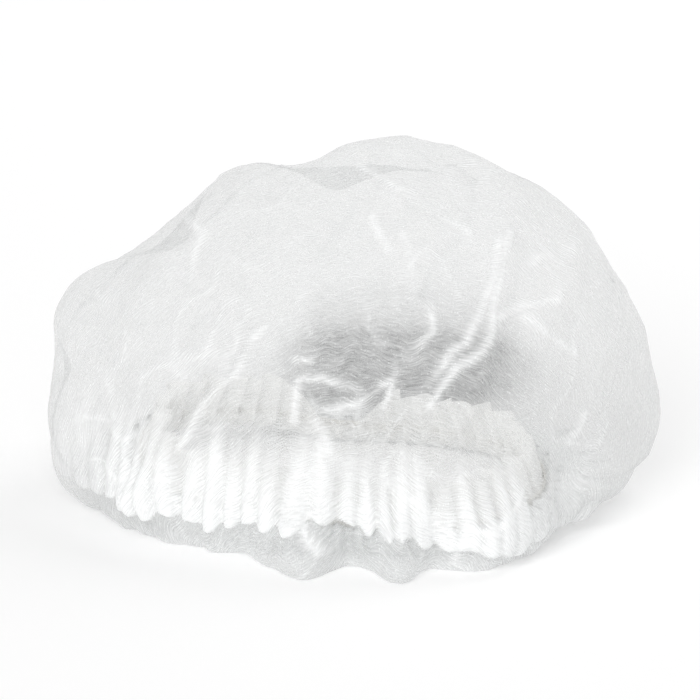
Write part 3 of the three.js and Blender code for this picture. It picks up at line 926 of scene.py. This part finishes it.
class COVER_OT_stitching(bpy.types.Operator):
    """Add the thread that sews the elastic in, as short stitches over each pleat."""

    bl_idname = "cover.stitching"
    bl_label = "Stitching"

    def execute(self, context):
        shape, look = context.scene.cover_shape, context.scene.cover_look
        count = 3 * shape.pleats
        around_thread = np.linspace(0, 2 * np.pi, 6, endpoint=False)
        up = np.array([0, 0, 1])
        points, faces = [], []
        for k in range(count):
            station = (k + np.linspace(0.2, 0.8, 5)) / count
            lines = cloth_lines(shape, station)
            middle = walk(lines, lines[1][:, 1:2] + ELASTIC_UP - CHANNEL_FOOT)[:, 0]
            out = outward(angle_at(station))
            bow = np.array([0.0, 0.35, 0.5, 0.35, 0.0]) * shape.stitch_radius
            push = gathers(shape, station, np.zeros((5, 1)))[:, 0] + shape.stitch_radius + bow
            middle = middle + out * push[:, None]
            thin = np.array([0.35, 0.9, 1, 0.9, 0.35]) * shape.stitch_radius
            start = len(points)
            for centre, facing, radius in zip(middle, out, thin):
                for turn in around_thread:
                    points.append(centre + radius * (facing * np.cos(turn) + up * np.sin(turn)))
            for r in range(4):
                for j in range(6):
                    a, b = start + 6 * r + j, start + 6 * r + (j + 1) % 6
                    faces.append((a, b, b + 6, a + 6))
            faces.append(tuple(range(start + 5, start - 1, -1)))
            faces.append(tuple(range(start + 24, start + 30)))
        thread = new_mesh("elastic_stitching", in_frame(shape, np.array(points)), faces, spun_thread(look))
        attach(thread, "root")
        return {"FINISHED"}


class COVER_OT_stage(bpy.types.Operator):
    """Add the pale floor, the soft light and the camera at the photograph's angle."""

    bl_idname = "cover.stage"
    bl_label = "Stage"

    def execute(self, context):
        look = context.scene.stage_look
        ring = outward(np.linspace(0, 2 * np.pi, 96, endpoint=False)) * FLOOR_RADIUS - (0, 0, 0.2 * MM)
        floor = new_mesh("floor", ring, [tuple(range(len(ring)))], paper(look))
        key = bpy.data.lights.new("key", "SUN")
        key.energy = look.key
        key.angle = math.radians(40)
        fill = bpy.data.lights.new("fill", "AREA")
        fill.energy = look.fill_power
        fill.size = 1.6
        low = bpy.data.lights.new("low", "AREA")
        low.energy = look.low_power
        low.size = 1.2
        for light, place in ((key, KEY_FROM), (fill, FILL_FROM), (low, LOW_FROM)):
            lamp = bpy.data.objects.new(light.name, light)
            lamp.location = place
            towards = Vector((0, 0, 0.06)) - lamp.location
            lamp.rotation_euler = towards.to_track_quat("-Z", "Y").to_euler()
            context.scene.collection.objects.link(lamp)
        world = bpy.data.worlds.new("even sky")
        world.use_nodes = True
        world.node_tree.nodes["Background"].inputs["Color"].default_value = (1, 1, 1, 1)
        world.node_tree.nodes["Background"].inputs["Strength"].default_value = look.sky
        context.scene.world = world
        context.scene.view_settings.view_transform = "Standard"
        camera = bpy.data.cameras.new("camera")
        camera.sensor_width = 36
        camera.lens = camera.sensor_width * VIEW_DISTANCE / VIEW_SPAN
        camera.clip_end = 3 * FLOOR_RADIUS
        eye = bpy.data.objects.new("camera", camera)
        back = Vector((0, -math.cos(VIEW_TILT), math.sin(VIEW_TILT)))
        eye.location = Vector(VIEW_AIM) + VIEW_DISTANCE * back
        eye.rotation_euler = (math.pi / 2 - VIEW_TILT, 0, 0)
        context.scene.collection.objects.link(eye)
        context.scene.camera = eye
        return {"FINISHED"}


OPERATORS = (COVER_OT_crown, COVER_OT_hem, COVER_OT_elastic, COVER_OT_stitching, COVER_OT_stage)


class COVER_PT_panel(bpy.types.Panel):
    """Buttons and sizes of the hair cover."""

    bl_idname = "COVER_PT_panel"
    bl_label = "Hair Cover"
    bl_space_type = "VIEW_3D"
    bl_region_type = "UI"
    bl_category = "Hair Cover"

    def draw(self, context):
        for operator in OPERATORS:
            self.layout.operator(operator.bl_idname)
        scene = context.scene
        for settings in (scene.cover_shape, scene.cover_look, scene.stage_look):
            for name in settings.__annotations__:
                self.layout.prop(settings, name)


CLASSES = (CoverShape, CoverLook, StageLook, *OPERATORS, COVER_PT_panel)


def register():
    for cls in CLASSES:
        bpy.utils.register_class(cls)
    bpy.types.Scene.cover_shape = PointerProperty(type=CoverShape)
    bpy.types.Scene.cover_look = PointerProperty(type=CoverLook)
    bpy.types.Scene.stage_look = PointerProperty(type=StageLook)


def unregister():
    del bpy.types.Scene.stage_look
    del bpy.types.Scene.cover_look
    del bpy.types.Scene.cover_shape
    for cls in reversed(CLASSES):
        bpy.utils.unregister_class(cls)


def main():
    register()
    bpy.ops.cover.crown()
    bpy.ops.cover.hem()
    bpy.ops.cover.elastic()
    bpy.ops.cover.stitching()
    bpy.ops.cover.stage()
    bpy.context.view_layer.update()


if __name__ == "__main__":
    main()
